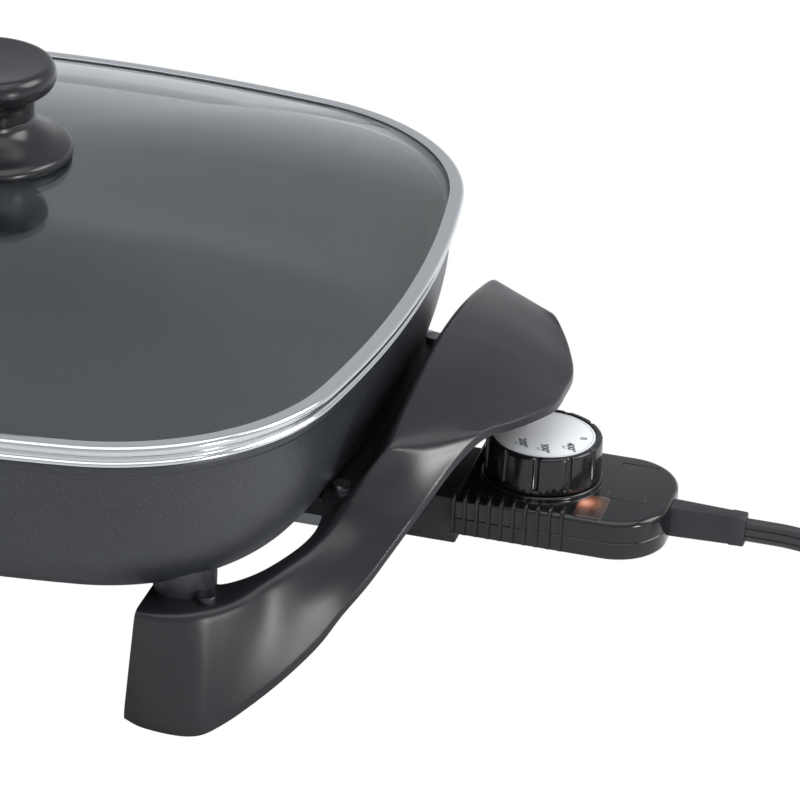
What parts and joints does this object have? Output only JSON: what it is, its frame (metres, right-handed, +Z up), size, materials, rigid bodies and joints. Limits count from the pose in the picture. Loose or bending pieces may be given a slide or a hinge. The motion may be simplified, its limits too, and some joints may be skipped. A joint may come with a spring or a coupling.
{
  "type": "electric skillet",
  "caption": "Square electric skillet with domed glass lift-off lid, moulded side handles with feet, and plug-in dial control with pilot lamp and lead.",
  "frame": {"origin": "on the table, under the middle of the skillet with its plugged-in control, measured without the lead, coil and plug", "axes": "+X from the pan towards the control and lead, +Y to the back, +Z up"},
  "size_m": [0.6703, 0.32, 0.1721],
  "materials": {
    "coated_pan": "cast, with a dark satin non-stick coat",
    "bare_cast": "as cast",
    "element_sheath": "dulled by heat",
    "ceramic": "unglazed",
    "plated_steel": "plated",
    "handle_plastic": "satin black",
    "lid_glass": "lightly smoked",
    "polished_steel": "polished",
    "knob_plastic": "soft gloss black",
    "soft_rubber": "matte",
    "probe_plastic": "gloss black",
    "nose_plastic": "matte black",
    "contact_brass": "drawn",
    "lamp_glass": "clear",
    "lens_plastic": "orange, see-through",
    "wire_rubber": "smooth",
    "lead_rubber": "matte",
    "dial_plastic": "gloss black",
    "plate_aluminium": "satin, with plain numbers"
  },
  "bodies": {
    "skillet": {"pan": "coated_pan", "element_bead": "bare_cast", "heating_element": "element_sheath", "element_seals": "ceramic", "element_pins": "plated_steel", "sensor_well": "bare_cast", "socket_guard": "plated_steel", "guard_rivets": "bare_cast", "leg_posts": "bare_cast", "side_lugs": "coated_pan", "right_handle": "handle_plastic", "left_handle": "handle_plastic", "leg_screws": "plated_steel", "side_screws": "plated_steel"},
    "lid": {"lid_glass": "lid_glass", "lid_band": "polished_steel", "knob_base": "knob_plastic", "knob_grip": "knob_plastic", "knob_screw": "plated_steel", "knob_washer": "plated_steel", "knob_gasket": "soft_rubber"},
    "probe": {"probe_lower": "probe_plastic", "probe_upper": "probe_plastic", "probe_nose": "nose_plastic", "sensor_tube": "plated_steel", "pin_receptacles": "contact_brass", "thermostat_base": "ceramic", "bimetal_strip": "contact_brass", "contact_arms": "contact_brass", "shaft_bush": "contact_brass", "pilot_lamp": "lamp_glass", "lamp_lens": "lens_plastic", "housing_screws": "plated_steel", "inner_leads": "wire_rubber", "strain_relief": "soft_rubber", "lead_run": "lead_rubber", "lead_coil": "lead_rubber", "lead_tail": "lead_rubber", "plug_body": "soft_rubber", "plug_blades": "contact_brass"},
    "dial": {"dial_knob": "dial_plastic", "dial_plate": "plate_aluminium", "dial_shaft": "plated_steel"}
  },
  "joints": [
    {"name": "lid_lift", "type": "slide", "parent": "skillet", "child": "lid", "axis": [0, 0, 1], "range_m": [0, 0.12]},
    {"name": "probe_pull", "type": "slide", "parent": "skillet", "child": "probe", "axis": [1, 0, 0], "range_m": [0, 0.07]},
    {"name": "dial_turn", "type": "hinge", "parent": "probe", "child": "dial", "pos_m": [0.173, 0, 0.05], "axis": [0, 0, 1], "range_deg": [-300, 0]}
  ]
}
